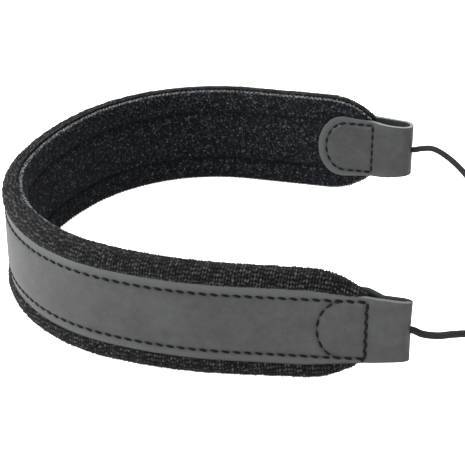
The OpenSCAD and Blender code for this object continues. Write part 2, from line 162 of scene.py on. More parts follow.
def tip_reach(arm):
    s, x, y, heading, length = arm
    at = np.interp(length - fold_centre, s, x)
    return at + 0.3 * mm * math.sin(heading[-1]) + fold_centre


apex_x = (rim_radius - max(tip_reach(back_arm), tip_reach(front_arm))) / 2
apex_y = (front_arm[2].max() - back_arm[2].max()) / 2


def spot(flat):
    """Places of flat points (an array of x, y, z) on the collar."""
    s, n, z = np.asarray(flat, float).T
    placed = np.zeros((len(s), 3))
    for side, arm, mask in ((1, back_arm, s < 0), (-1, front_arm, s >= 0)):
        x = np.interp(np.abs(s[mask]), arm[0], arm[1])
        y = np.interp(np.abs(s[mask]), arm[0], arm[2])
        h = np.interp(np.abs(s[mask]), arm[0], arm[3])
        placed[mask, 0] = apex_x + x - n[mask] * np.sin(h)
        placed[mask, 1] = apex_y + side * (y + n[mask] * np.cos(h))
        placed[mask, 2] = z[mask]
    return placed


def to_tip(s):
    """Distance along the collar to the tip of the nearer loop."""
    return np.where(s < 0, back_length + s, front_length - s)


def coordinates(mesh):
    flat = np.zeros(len(mesh.vertices) * 3)
    mesh.vertices.foreach_get("co", flat)
    return flat.reshape(-1, 3)


def set_coordinates(mesh, points):
    mesh.vertices.foreach_set("co", np.asarray(points).ravel())


def paint(mesh, name, values):
    """Keeps a value for each point, which a material can read."""
    mesh.attributes.new(name, "FLOAT", "POINT").data.foreach_set("value", values)


def lay_on_collar(mesh):
    """Bends a flat piece to the collar. Its back face turns with it, so the normals stay outwards."""
    set_coordinates(mesh, spot(coordinates(mesh)))
    mesh.update()


def new_piece(name, mesh, material, body="strap", smooth=True):
    """An object for a finished mesh that rides on a body and takes its finish from a slot."""
    piece = bpy.data.objects.new(name, mesh)
    scene.collection.objects.link(piece)
    if not mesh.materials:
        mesh.materials.append(material)
    mesh.polygons.foreach_set("use_smooth", [smooth] * len(mesh.polygons))
    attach(piece, body)
    return piece


def to_mesh(bm, name):
    mesh = bpy.data.meshes.new(name)
    bm.to_mesh(mesh)
    bm.free()
    return mesh


# ---------------------------------------------------------------------------------------------------------
# Cord: just under half a metre of 3 mm braided polyester, knotted inside both loops. It runs down to the table from
# each loop, passes through the adjuster, and goes round the swivel eye of the hook.
cord_width = 3 * mm
axis_z = 4.6
run_y = 2.7
bight_x = 252.4
back_route = [(73.7, 94.1, 25), (79.4, 93.9, 25), (83.3, 93.1, 26.3), (89.7, 91.2, 27.4),
              (97.7, 88.2, 24.4), (105.7, 83.3, 19.5), (112, 77, 14.5), (118, 68.5, 9.5),
              (122, 56, 3.5), (125, 43, 1.7), (128, 30, 1.7), (133, 17, 1.8), (141, 6.5, 3)]
front_route = [(91.1, -89.5, 25), (96.9, -88.9, 23.9), (100.7, -88.6, 22.4), (106.7, -87.9, 22.0),
               (112.7, -86.7, 22.7), (119.4, -84.4, 22.2), (128, -77, 15.5), (134, -66, 7.2),
               (135, -54, 2.4), (134, -41, 1.7), (134, -28, 1.7), (137, -15, 1.8), (143, -6, 3.2)]
run_x = (153, 162, 171, 181, 192, 203, 214, 225, 234, 242, 248)
bight_turns = [math.radians(90 - 30 * i) for i in range(7)]
bight = [(bight_x + run_y * math.cos(turn), run_y * math.sin(turn), axis_z) for turn in bight_turns]
route = np.array(back_route + [(x, run_y, axis_z) for x in run_x] + bight
                 + [(x, -run_y, axis_z) for x in reversed(run_x)] + front_route[::-1]) * mm


def smooth_line(points, step):
    """A smooth line through the points, with a point at about every step."""
    padded = np.vstack([points[0], points, points[-1]])
    line = []
    for p0, p1, p2, p3 in zip(padded, padded[1:], padded[2:], padded[3:]):
        count = max(2, round(np.linalg.norm(p2 - p1) / step))
        for t in np.arange(count) / count:
            line.append(0.5 * (2 * p1 + (p2 - p0) * t + (2 * p0 - 5 * p1 + 4 * p2 - p3) * t ** 2
                               + (3 * p1 - p0 - 3 * p2 + p3) * t ** 3))
    line.append(points[-1])
    return np.array(line)


def straight_tube(length, step, sides, radius):
    """A closed straight tube along x, and its u (metres along) and v (turns round) as a UV map."""
    bm = bmesh.new()
    ring = bmesh.ops.create_circle(bm, segments=sides, radius=radius, matrix=Matrix.Rotation(math.pi / 2, 4, "Y"))
    steps = max(2, round(length / step))
    bmesh.ops.spin(bm, geom=ring["verts"] + list({e for v in ring["verts"] for e in v.link_edges}),
                   cent=(0, 0, 0), axis=(1, 0, 0), dvec=(length / steps, 0, 0), angle=0, steps=steps)
    bmesh.ops.holes_fill(bm, edges=bm.edges, sides=sides)
    bmesh.ops.recalc_face_normals(bm, faces=bm.faces)
    uv = bm.loops.layers.uv.new("along")
    for face in bm.faces:
        turns = [math.atan2(loop.vert.co.y, loop.vert.co.z) / math.tau for loop in face.loops]
        for loop, turn in zip(face.loops, turns):
            loop[uv].uv = (loop.vert.co.x * 100, turn + 1 if turn < max(turns) - 0.5 else turn)
    return bm


def lay_on_route(mesh, line):
    """Moves a straight piece, with x along it, onto a line in space."""
    flat = coordinates(mesh)
    gaps = np.linalg.norm(np.diff(line, axis=0), axis=1)
    at = np.concatenate([[0], np.cumsum(gaps)])
    ahead = np.gradient(line, at, axis=0)
    ahead /= np.linalg.norm(ahead, axis=1)[:, None]
    side = np.cross([0, 0, 1], ahead)
    side /= np.linalg.norm(side, axis=1)[:, None]
    up = np.cross(ahead, side)
    s = np.clip(flat[:, 0], 0, at[-1])

    def along(values):
        return np.stack([np.interp(s, at, values[:, i]) for i in range(3)], axis=1)

    placed = along(line) + along(side) * flat[:, 1:2] + along(up) * flat[:, 2:3]
    set_coordinates(mesh, placed)
    mesh.update()


# Braided polyester sleeve: strands about 0.9 mm wide cross at 45 degrees and give a soft, broken sheen.
# The sleeve is black; the crests of its strands are painted a lighter purple-black as a painted sheen, and the gaps
# between them near black as painted shade.
braid, shader, links = new_material("braided polyester cord")
place = add_node(braid, "ShaderNodeUVMap", [], uv_map="along")
split = add_node(braid, "ShaderNodeSeparateXYZ", [("Vector", place.outputs["UV"])])
waves = []
for way in (1, -1):
    lean = add_node(braid, "ShaderNodeMath", [(0, split.outputs["X"]), (1, 5.5 * way)], operation="MULTIPLY")
    turn = add_node(braid, "ShaderNodeMath", [(0, split.outputs["Y"]), (1, 8.0), (2, lean.outputs[0])],
                    operation="MULTIPLY_ADD")
    waves.append(add_node(braid, "ShaderNodeMath", [(0, turn.outputs[0]), (1, 0.5)], operation="PINGPONG"))
over = add_node(braid, "ShaderNodeMath", [(0, waves[0].outputs[0]), (1, waves[1].outputs[0])], operation="MAXIMUM")
# Painted sheen and shade: the colour follows the strands' height, lighter on their crests and darker in the gaps
tone = add_node(braid, "ShaderNodeMapRange", [("Value", over.outputs[0]), ("From Min", 0.2), ("From Max", 0.5)])
colours = add_node(braid, "ShaderNodeMix", [("Factor", tone.outputs[0]), ("A", linear("#08070a")),
                                            ("B", linear("#221d26"))], data_type="RGBA")
bump = add_node(braid, "ShaderNodeBump", [("Height", over.outputs[0]), ("Distance", 0.4 * mm), ("Strength", 0.9)])
links.new(colours.outputs["Result"], shader.inputs["Base Color"])
links.new(bump.outputs[0], shader.inputs["Normal"])
shader.inputs["Roughness"].default_value = 0.5
shader.inputs["Specular IOR Level"].default_value = 0.2
shader.inputs["Sheen Weight"].default_value = 0.03
shader.inputs["Sheen Roughness"].default_value = 0.4

cord_line = smooth_line(route, 0.8 * mm)
cord_length = float(np.linalg.norm(np.diff(cord_line, axis=0), axis=1).sum())
cord_mesh = to_mesh(straight_tube(cord_length, 0.6 * mm, 14, cord_width / 2), "braided_cord")
lay_on_route(cord_mesh, cord_line)
cord = new_piece("braided_cord", cord_mesh, braid)
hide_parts("cord")

# Stopper knots: a blood knot at each end of the cord, three tight turns round its core, which can't pull
# out through the hole in the leather. They are dressed small enough to lie inside the loop.
turn_width, coil_radius, turn_steps = 1.0625 * mm, 1.55 * mm, 36
for arm_name, end, toward in (("back", cord_line[0], cord_line[6]), ("front", cord_line[-1], cord_line[-7])):
    out = Vector(toward - end).normalized()
    turns = [Vector((turn_width * (i / turn_steps - 1.5), coil_radius * math.cos(i / turn_steps * math.tau),
                     coil_radius * math.sin(i / turn_steps * math.tau))) for i in range(3 * turn_steps + 1)]
    to_cord = out.to_track_quat("X", "Z").to_matrix()
    knot_line = np.array([Vector(end) + to_cord @ p for p in turns])
    bm = straight_tube(1, 0.01, 10, 1.2 * mm)
    knot_length = float(np.linalg.norm(np.diff(knot_line, axis=0), axis=1).sum())
    for v in bm.verts:
        v.co.x *= knot_length
    mesh = to_mesh(bm, arm_name + "_stopper_knot")
    lay_on_route(mesh, knot_line)
    knot = new_piece(arm_name + "_stopper_knot", mesh, braid)
    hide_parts(arm_name + "_knot")

# ---------------------------------------------------------------------------------------------------------
# Pad core: a strip of open-cell polyurethane foam, sewn in between the cover and the lining and out of sight.
foam, shader, links = new_material("open-cell foam")
cells = add_node(foam, "ShaderNodeTexVoronoi", [("Scale", 1 / (0.9 * mm))])
place = add_node(foam, "ShaderNodeTexCoord", [])
links.new(place.outputs["Object"], cells.inputs["Vector"])
bump = add_node(foam, "ShaderNodeBump", [("Height", cells.outputs["Distance"]), ("Distance", 0.3 * mm)])
links.new(bump.outputs[0], shader.inputs["Normal"])
shader.inputs["Base Color"].default_value = linear("#3a3a3c")
shader.inputs["Roughness"].default_value = 0.95
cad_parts["pad_core"].data.materials.clear()
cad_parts["pad_core"].data.materials.append(foam)

# ---------------------------------------------------------------------------------------------------------
# Cover: chunky ribbed cotton knit, stretched over the foam and rolled round both edges, where it stands
# about 5 mm thick beside the leather. Its wales run across the roll, 2.4 mm apart.
back_loop, front_loop = 20 * mm, 17.6 * mm
pad_start, pad_end = back_loop - back_length, front_length - front_loop
strap_width, tip_width, taper = 33.6 * mm, 26 * mm, 42 * mm
wale, course = 2.4 * mm, 1.7 * mm
random = np.random.default_rng(11)


def shoulder_drop(s):
    """How far the pad's edges have come in at a place along the collar. The front arm narrows a little."""
    corner_radius, corner_length = 34 * mm, 24 * mm
    narrowing, narrowing_length = 1.6 * mm, 110 * mm
    from_end = to_tip(s) - np.where(s < 0, back_loop, front_loop)
    x = np.clip(corner_length - from_end, 0, 30 * mm)
    narrow = np.where(s > 0, narrowing * np.clip(1 - from_end / narrowing_length, 0, 1), 0)
    return corner_radius - np.sqrt(corner_radius ** 2 - x ** 2) + narrow


def strap_half(u):
    """Half the leather's width at a distance from the tip of its loop."""
    return strap_width / 2 - np.clip(1 - u / taper, 0, 1) * (strap_width - tip_width) / 2


def lowered(s, z):
    """Heights moved in with the pad's edges; the middle of the pad stays."""
    drop = shoulder_drop(s) * np.clip(np.abs(z - mid) / (14 * mm), 0, 1)
    return np.where(z < mid, z + drop, z - drop)


def arc(centre, radius, start, end, step):
    """(out, up) points of an arc, degrees from straight out."""
    count = max(2, round(abs(math.radians(end - start)) * radius / step))
    return [(centre[0] + radius * math.cos(math.radians(a)), centre[1] + radius * math.sin(math.radians(a)))
            for a in np.linspace(start, end, count + 1)]


def upright(points):
    """The same outline seen upside down, for the other edge of the pad."""
    return [(n, pad_height - z) for n, z in reversed(points)]


def swept(outside, inside, start, end, step):
    """A straight bar along x with a closed section. The length round the outside is kept as t, and the
    inside has t = -1."""
    steps, sides = round((end - start) / step), len(outside) + len(inside)
    lengths = np.concatenate([[0], np.cumsum(np.linalg.norm(np.diff(outside, axis=0), axis=1))])
    section, marks = outside + inside + outside[:1], list(lengths) + [-1] * len(inside) + [0]
    bm = bmesh.new()
    layer = bm.verts.layers.float.new("t")
    bmesh.ops.create_grid(bm, x_segments=steps, y_segments=sides, size=1)
    for v in bm.verts:
        k = round((v.co.y + 1) / 2 * sides)
        v[layer] = marks[k]
        v.co = (start + (v.co.x + 1) / 2 * (end - start), *section[k])
    bmesh.ops.remove_doubles(bm, verts=bm.verts, dist=1e-6)
    bmesh.ops.holes_fill(bm, edges=[e for e in bm.edges if e.is_boundary], sides=0)
    bmesh.ops.recalc_face_normals(bm, faces=bm.faces)
    return bm, lengths


def swept_points(mesh):
    """The points of a swept bar, and their distances t."""
    t = np.zeros(len(mesh.vertices))
    mesh.attributes["t"].data.foreach_get("value", t)
    return coordinates(mesh), t


def outward(outline, lengths, t, way):
    """The direction out of a swept bar at distances t round its outside."""
    slope = np.gradient(np.array(outline), lengths, axis=0)
    slope = np.stack([np.interp(t, lengths, np.convolve(np.pad(slope[:, i], 2, "edge"), np.ones(5) / 5, "valid"))
                      for i in (0, 1)], 1)
    slope /= np.linalg.norm(slope, axis=1)[:, None]
    return way * slope[:, 1], -way * slope[:, 0]


def grain_of(points, seed):
    """Smooth noise from -1 to 1 at many points."""
    return np.array([noise.noise(Vector((x + seed, y, z))) for x, y, z in points])


roll_centre = (0, 4.8 * mm)
core_radius = 3.75 * mm
face, core_face = 2.6 * mm, 1.5 * mm  # outside and inside of the knit, from the middle surface
low_roll = [(n, max(z, 0)) for n, z in arc(roll_centre, rim_radius, -109.5, 55, 0.45 * mm)]
low_core = arc(roll_centre, core_radius, -109.5, 50, 1.6 * mm)
outside = low_roll + [(face, z * mm) for z in (12, 17, 21, 25, 29, 33, 38)] + upright(low_roll)
inside = ([(n, pad_height - z) for n, z in low_core] + [(core_face, z * mm) for z in (34, 25, 16)]
          + low_core[::-1])
bm, lengths = swept(outside, inside, pad_start, pad_end, 0.42 * mm)
cover_mesh = to_mesh(bm, "knit_cover")
flat, t = swept_points(cover_mesh)
s, n, z = flat.T
worked = t >= 0
out_n, out_z = outward(outside, lengths, t, 1)
roll_length = 14.9 * mm
on_roll = worked & (np.minimum(t, lengths[-1] - t) < roll_length)
# Two strands of yarn lean together in each loop of the knit; yarn is never quite even
around = np.where(z < mid, t, lengths[-1] - t)
wales = s / wale + 0.12 * grain_of(np.stack([s * 60, around * 90, z * 0], 1), 3) + around * 60
column = np.floor(wales).astype(int) - np.floor(wales).astype(int).min()
across = wales - np.floor(wales)
rows = around / course + np.abs(across - 0.5) * 0.9 + random.random(column.max() + 1)[column]
within = rows - np.floor(rows)
luck = random.random(97)[(column * 31 + np.floor(rows).astype(int)) % 97]
full = 0.85 + 0.3 * luck
stitch_shape = np.sqrt(np.abs(np.sin(math.tau * across))) * (0.35 + 0.65 * np.sin(math.pi * within)) * full
fuzz = grain_of(np.stack([s * 900, around * 900, z * 0], 1), 9)
paired = 0.5 + 0.5 * np.cos(math.tau * wales / 2)
stitch_rise, rib_rise, fuzz_rise, sunk = 1.15 * mm, 0.07 * mm, 0.3 * mm, 0.55 * mm
height = stitch_rise * stitch_shape + rib_rise * paired + fuzz_rise * fuzz - sunk
n = n + np.where(on_roll, height * out_n, 0)
z = z + np.where(on_roll, height * out_z, 0)
u = to_tip(s)
z = lowered(s, z)
# The leather presses the knit flat under itself
pressed = np.abs(z - mid) < strap_half(u) + 0.1 * mm
pressed_face, pressed_back = 2.2 * mm, 1.2 * mm
n = np.where(pressed & worked, np.minimum(n, pressed_face), n)
n = np.where(pressed & ~worked, np.minimum(n, pressed_back), n)
z = np.maximum(z, 0.05 * mm)  # it stands on the floor
set_coordinates(cover_mesh, np.stack([s, n, z], 1))
# Painted highlight: the crest value grows with the knit's height, so its crests are lighter and its hollows dark,
# unevenly from loop to loop
uneven = (0.8 + 0.25 * luck) * (1 + 1.1 * fuzz)
paint(cover_mesh, "painted_crest_highlight", np.clip(height / mm + 0.3, 0, 1) ** 3.2 * uneven)
lay_on_collar(cover_mesh)

# Napped black cotton yarn: the crests of the knit are painted grey as a painted highlight, taken from the knit's
# height and broken up by lint noise; the hollows keep the yarn's black
knit, shader, links = new_material("napped ribbed knit")
place = add_node(knit, "ShaderNodeTexCoord", [])
lint = add_node(knit, "ShaderNodeTexNoise", [("Vector", place.outputs["Object"]), ("Scale", 1 / (0.55 * mm)),
                                             ("Detail", 4.0), ("Roughness", 0.75)])
patches = add_node(knit, "ShaderNodeTexNoise", [("Vector", place.outputs["Object"]), ("Scale", 1 / (11 * mm)),
                                                ("Detail", 2.0)])
painted_crest_highlight = add_node(knit, "ShaderNodeAttribute", [], attribute_name="painted_crest_highlight")
flecks = add_node(knit, "ShaderNodeMapRange", [("Value", lint.outputs["Fac"]), ("From Min", 0.36),
                                               ("From Max", 0.66), ("To Min", 0.25), ("To Max", 1.15)])
lint_and_crest_highlight = add_node(knit, "ShaderNodeMath", [(0, painted_crest_highlight.outputs["Fac"]), (1, flecks.outputs[0])], operation="MULTIPLY")
ground = add_node(knit, "ShaderNodeMix", [("Factor", patches.outputs["Fac"]), ("A", linear("#020203")),
                                          ("B", linear("#060607"))], data_type="RGBA")
colours = add_node(knit, "ShaderNodeMix", [("Factor", lint_and_crest_highlight.outputs[0]), ("A", ground.outputs["Result"]),
                                           ("B", linear("#585a58"))], data_type="RGBA")
bump = add_node(knit, "ShaderNodeBump", [("Height", lint.outputs["Fac"]), ("Distance", 0.35 * mm),
                                         ("Strength", 0.8)])
links.new(colours.outputs["Result"], shader.inputs["Base Color"])
links.new(bump.outputs[0], shader.inputs["Normal"])
shader.inputs["Roughness"].default_value = 0.75
shader.inputs["Specular IOR Level"].default_value = 0.1
shader.inputs["Sheen Weight"].default_value = 0.01
shader.inputs["Sheen Roughness"].default_value = 0.5
cover = new_piece("knit_cover", cover_mesh, knit)
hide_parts("outer_cover")

# ---------------------------------------------------------------------------------------------------------
# Lining: uncut terry towelling over a thin layer of wadding, quilted through where the two long rows of
# stitches come out. It puffs up between the rows, and dips under the tabs.
row_offset = strap_width / 2 - 4 * mm
back_tab, front_tab, tab_end = 47.8 * mm, 41 * mm, 14 * mm


def lining_outside(step):
    """The lining's face from the lower edge to the upper: a rolled edge, a flat and a rolled edge."""
    roll = [(-n, z) for n, z in arc(roll_centre, rim_radius, -46, 33, step)]
    flat_n, edge = roll[-1]
    count = round((pad_height - 2 * edge) / step)
    return roll + [(flat_n, edge + (pad_height - 2 * edge) * i / count) for i in range(1, count)] + upright(roll)


back_wall = [(-2.72 * mm, z * mm) for z in (48, 40, 25, 10, 2)]


def tab_at(s):
    """Length of the folded tab on the arm where s lies."""
    return np.where(s < 0, back_tab, front_tab)


def quilted(s, t, total):
    """1 where the lining is held down by stitches or by a tab, and 0 where it is free."""
    z_at = t / total * (pad_height + 4 * mm) - 2 * mm
    rows = np.abs(np.abs(z_at - mid) - row_offset) < 1.3 * mm
    edges = np.minimum(t, total - t) < 2.0 * mm
    return rows | edges | (to_tip(s) < tab_at(s) - 4 * mm)


def puffed(cloth_step):
    """Blows the quilted lining up as cloth under pressure, and returns how far it moved on a grid of s, t."""
    bm, lengths = swept(lining_outside(cloth_step), back_wall, pad_start, pad_end, cloth_step)
    mesh = to_mesh(bm, "lining_cloth")
    rest, t = swept_points(mesh)
    held = (t < 0) | quilted(rest[:, 0], t, lengths[-1])
    cloth_piece = bpy.data.objects.new("lining_cloth", mesh)
    scene.collection.objects.link(cloth_piece)
    cloth_piece.vertex_groups.new(name="sewn").add(np.flatnonzero(held).tolist(), 1.0, "REPLACE")
    cloth = cloth_piece.modifiers.new("towelling", "CLOTH")
    cloth.settings.quality = 6
    cloth.settings.mass = 0.25
    cloth.settings.vertex_group_mass = "sewn"
    cloth.settings.use_pressure = True
    cloth.settings.uniform_pressure_force = 6
    cloth.settings.effector_weights.gravity = 0
    cloth.point_cache.frame_start, cloth.point_cache.frame_end = 1, 20
    for number in range(1, 21):
        scene.frame_set(number)
    blown = coordinates(cloth_piece.evaluated_get(bpy.context.evaluated_depsgraph_get()).to_mesh())
    moved = np.linalg.norm((blown - rest)[:, 1:], axis=1)
    stations = np.unique(np.round(rest[:, 0], 6))
    grid = np.zeros((len(stations), len(lengths)))
    front = t >= 0
    grid[np.searchsorted(stations, np.round(rest[front, 0], 6)),
         np.abs(t[front, None] - lengths).argmin(axis=1)] = moved[front]
    bpy.data.objects.remove(cloth_piece)
    scene.frame_set(1)
    return stations, lengths / lengths[-1], grid


def sampled(stations, across, grid, s, t):
    """The grid's values at s, t, smoothly between its points."""
    i = np.clip(np.searchsorted(stations, s) - 1, 0, len(stations) - 2)
    j = np.clip(np.searchsorted(across, t) - 1, 0, len(across) - 2)
    a = np.clip((s - stations[i]) / (stations[i + 1] - stations[i]), 0, 1)
    b = np.clip((t - across[j]) / (across[j + 1] - across[j]), 0, 1)
    return (grid[i, j] * (1 - a) * (1 - b) + grid[i + 1, j] * a * (1 - b)
            + grid[i, j + 1] * (1 - a) * b + grid[i + 1, j + 1] * a * b)


terry_step = 0.55 * mm
outside = lining_outside(terry_step)
bm, lengths = swept(outside, back_wall, pad_start, pad_end, terry_step)
lining_mesh = to_mesh(bm, "terry_lining")
flat, t = swept_points(lining_mesh)
s, n, z = flat.T
front = t >= 0
most_puff, cloth_step = 0.9 * mm, 2.6 * mm
puff = np.minimum(sampled(*puffed(cloth_step), s, t / lengths[-1]), most_puff)
# Loops of pile, each about 1.2 mm across, lie every way and hide the ground cloth
pile = np.zeros(len(s))
for i in np.flatnonzero(front):
    stir = noise.noise(Vector((s[i] * 420, t[i] * 420, 2)))
    spread = noise.voronoi(Vector((s[i] / (1.3 * mm) + stir, t[i] / (1.15 * mm) - stir, 0)))[0]
    pile[i] = spread[1] - spread[0] + 0.45 * noise.noise(Vector((s[i] * 1500, t[i] * 1500, 5)))
channel = np.abs(np.abs(z - mid) - row_offset)
dip_depth = 0.75 * mm
dip = dip_depth * np.exp(-(channel / (0.9 * mm)) ** 2) * (to_tip(s) > tab_at(s))
height = np.where(front, puff + (np.clip(pile, 0, 0.85) - 0.4) * mm - dip, 0)
out_n, out_z = outward(outside, lengths, t, -1)
n = n + height * np.where(front, out_n, 0)
z = z + height * np.where(front, out_z, 0)
u = to_tip(s)
z = lowered(s, z)
tab_reach = np.clip((tab_at(s) - u) / tab_end, 0, 1)
round_half = strap_width / 2 * np.sqrt(1 - (1 - tab_reach) ** 2)
tab_half = np.where(tab_reach > 0, np.minimum(round_half, strap_half(u)), 0)
under_tab = (np.abs(z - mid) < tab_half + 0.15 * mm) & front
pressed_lining = -3.3 * mm
n = np.where(under_tab, np.maximum(n, pressed_lining), n)
set_coordinates(lining_mesh, np.stack([s, n, z], 1))
# Painted light: the pile's crests are lighter by their height (painted highlight) at random strength, and the
# quilted channels are darker (painted shade), except under the tabs
shade = 1 - 0.75 * np.exp(-(channel / (1.1 * mm)) ** 2) * (u > tab_at(s))
paint(lining_mesh, "painted_crest_highlight", np.clip((pile - 0.1) / 0.6, 0, 1) ** 1.9 * (0.3 + 0.9 * random.random(len(s))) * shade)
lay_on_collar(lining_mesh)

# Terry towelling: black cotton loops, dull, with grey lint noise and a painted highlight on their crests, black
# between them, and painted shade in the quilted channels
terry, shader, links = new_material("uncut terry towelling")
place = add_node(terry, "ShaderNodeTexCoord", [])
lint = add_node(terry, "ShaderNodeTexNoise", [("Vector", place.outputs["Object"]), ("Scale", 1 / (0.7 * mm)),
                                              ("Detail", 5.0), ("Roughness", 0.8)])
patches = add_node(terry, "ShaderNodeTexNoise", [("Vector", place.outputs["Object"]), ("Scale", 1 / (14 * mm)),
                                                 ("Detail", 2.0)])
painted_crest_highlight = add_node(terry, "ShaderNodeAttribute", [], attribute_name="painted_crest_highlight")
flecks = add_node(terry, "ShaderNodeMapRange", [("Value", lint.outputs["Fac"]), ("From Min", 0.36),
                                                ("From Max", 0.66), ("To Min", 0.2), ("To Max", 1.2)])
lint_and_crest_highlight = add_node(terry, "ShaderNodeMath", [(0, painted_crest_highlight.outputs["Fac"]), (1, flecks.outputs[0])], operation="MULTIPLY")
ground = add_node(terry, "ShaderNodeMix", [("Factor", patches.outputs["Fac"]), ("A", linear("#050607")),
                                           ("B", linear("#0b0c0f"))], data_type="RGBA")
colours = add_node(terry, "ShaderNodeMix", [("Factor", lint_and_crest_highlight.outputs[0]), ("A", ground.outputs["Result"]),
                                            ("B", linear("#6e737c"))], data_type="RGBA")
bump = add_node(terry, "ShaderNodeBump", [("Height", lint.outputs["Fac"]), ("Distance", 0.4 * mm),
                                          ("Strength", 0.9)])
links.new(colours.outputs["Result"], shader.inputs["Base Color"])
links.new(bump.outputs[0], shader.inputs["Normal"])
shader.inputs["Roughness"].default_value = 0.85
shader.inputs["Specular IOR Level"].default_value = 0.1
shader.inputs["Sheen Weight"].default_value = 0.01
shader.inputs["Sheen Roughness"].default_value = 0.5
lining = new_piece("terry_lining", lining_mesh, terry)
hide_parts("lining")

# ---------------------------------------------------------------------------------------------------------
# Edge seams: grey overlock yarn that binds the cover to the lining along both edges. Each stitch leans over
# the edge, and the next leans back, like a braid.
seam_yarn, shader, links = new_material("overlock yarn")
place = add_node(seam_yarn, "ShaderNodeTexCoord", [])
lint = add_node(seam_yarn, "ShaderNodeTexNoise", [("Vector", place.outputs["Object"]), ("Scale", 1 / (0.8 * mm)),
                                                  ("Detail", 3.0)])
tone = add_node(seam_yarn, "ShaderNodeMapRange", [("Value", lint.outputs["Fac"]), ("From Min", 0.42),
                                                  ("From Max", 0.62)])
colours = add_node(seam_yarn, "ShaderNodeMix", [("Factor", tone.outputs[0]), ("A", linear("#08090a")),
                                                ("B", linear("#858a8e"))], data_type="RGBA")
links.new(colours.outputs["Result"], shader.inputs["Base Color"])
shader.inputs["Roughness"].default_value = 0.8
shader.inputs["Specular IOR Level"].default_value = 0.15
bump = add_node(seam_yarn, "ShaderNodeBump", [("Height", lint.outputs["Fac"]), ("Distance", 0.2 * mm)])
links.new(bump.outputs[0], shader.inputs["Normal"])


def ball(around, along):
    """A unit ball with its poles on x, as a mesh and as an array of its points."""
    bm = bmesh.new()
    bmesh.ops.create_uvsphere(bm, u_segments=around, v_segments=along, radius=1,
                              matrix=Matrix.Rotation(math.pi / 2, 4, "Y"))
    mesh = to_mesh(bm, "ball")
    return mesh, coordinates(mesh)


def add_ball(bm, mesh, points, matrix):
    """Adds a copy of the ball, turned into a lump by the matrix."""
    turned = points @ np.array(matrix.to_3x3()).T + np.array(matrix.translation)
    set_coordinates(mesh, turned)
    bm.from_mesh(mesh)


lump_ball = ball(6, 5)
lump_pitch, seam_n, zigzag = 1.1 * mm, -2.75, 0.3
lump = Matrix.Diagonal((1.05 * mm, 0.5 * mm, 0.5 * mm, 1))
for edge, base, way in (("upper", 48.95 * mm, 1), ("lower", 1.05 * mm, -1)):
    bm = bmesh.new()
    count = round((pad_end - pad_start) / lump_pitch)
    for i in range(count):
        at = pad_start + (pad_end - pad_start) * (i + 0.5) / count
        turn = Matrix.Rotation(math.radians(34 if i % 2 else -34), 4, "Z")
        shift = Matrix.Translation((at, (seam_n + (zigzag if i % 2 else -zigzag)) * mm, base))
        tip = Matrix.Rotation(math.radians(30 * way), 4, "X")
        add_ball(bm, *lump_ball, shift @ tip @ turn @ lump)
    mesh = to_mesh(bm, edge + "_overlock")
    flat = coordinates(mesh)
    flat[:, 2] -= way * shoulder_drop(flat[:, 0])
    set_coordinates(mesh, flat)
    lay_on_collar(mesh)
    seam = new_piece(edge + "_overlock", mesh, seam_yarn)
    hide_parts(edge + "_edge_seam")

# ---------------------------------------------------------------------------------------------------------
# Leather strap: one strip of 1.8 mm smooth cowhide, dyed dark grey on its face. It runs round the outside,
# folds back at each end into a loop, and ends in a round tab on the lining.
leather_n, leather_thick = 3.8 * mm, 1.8 * mm
fold_radius = 4.1 * mm
fold_arc = math.pi * fold_radius
end_row = tab_end - 4 * mm


def stitch_line(u, z, outer, loop, tab):
    """Distance to the nearest row of stitches; z is from the middle of the strap."""
    z = np.abs(z)
    centre = tab - tab_end
    level = np.where((u > loop) & ((u < centre) | outer), np.abs(z - row_offset), 1)
    reach = np.hypot((u - centre) / end_row, z / row_offset)
    row_radius = end_row + (row_offset - end_row) * np.minimum(z / row_offset, 1)
    round_end = np.where(u > centre, np.abs(reach - 1) * row_radius, 1)
    closing = np.where(z < row_offset, np.abs(u - loop), np.hypot(u - loop, z - row_offset))
    return np.minimum(np.minimum(level, round_end), closing)


halves = {1: front_length - fold_centre, -1: back_length - fold_centre}
ends = {1: halves[1] + fold_arc + front_tab - fold_centre, -1: halves[-1] + fold_arc + back_tab - fold_centre}
blank_length = ends[1] + ends[-1]
bm = bmesh.new()
bmesh.ops.create_grid(bm, x_segments=round(blank_length / (0.8 * mm)), y_segments=44, size=1)
for v in bm.verts:
    v.co.x = -ends[-1] + (v.co.x + 1) / 2 * blank_length
# A punched slot in the middle of each fold lets the cord through
slot_size = (1.9 * mm, 2.6 * mm)
for way in halves:
    hole = way * (halves[way] + fold_arc / 2)

    def across_slot(v):
        return math.hypot((v.co.x - hole) / slot_size[0], v.co.y * tip_width / 2 / slot_size[1])

    bmesh.ops.delete(bm, geom=[v for v in bm.verts if across_slot(v) < 0.85], context="VERTS")
    for v in bm.verts:
        if v.is_boundary and across_slot(v) < 2.5:
            grow = 1 / across_slot(v)
            v.co.x = hole + (v.co.x - hole) * grow
            v.co.y *= grow
leather_mesh = to_mesh(bm, "leather_strap_piece")
flat = coordinates(leather_mesh)
p, w = flat[:, 0], flat[:, 1]
way = np.where(p < 0, -1, 1)
half, end = np.where(p < 0, halves[-1], halves[1]), np.where(p < 0, ends[-1], ends[1])
along = np.abs(p)
past = np.clip((along - (end - tab_end)) / tab_end, 0, 1)
along = np.where(past > 0, end - tab_end + past * tab_end * np.sqrt(1 - (0.99 * w) ** 2), along)
angle = np.clip((along - half) / fold_radius, 0, math.pi)
back = np.maximum(along - half - fold_arc, 0)
s = np.minimum(along, half) + fold_radius * np.sin(angle) - back
length = half + fold_centre
u = length - s
z = w * strap_half(u)
outer = angle < math.pi / 2
loop, tab = np.where(p < 0, back_loop, front_loop), np.where(p < 0, back_tab, front_tab)
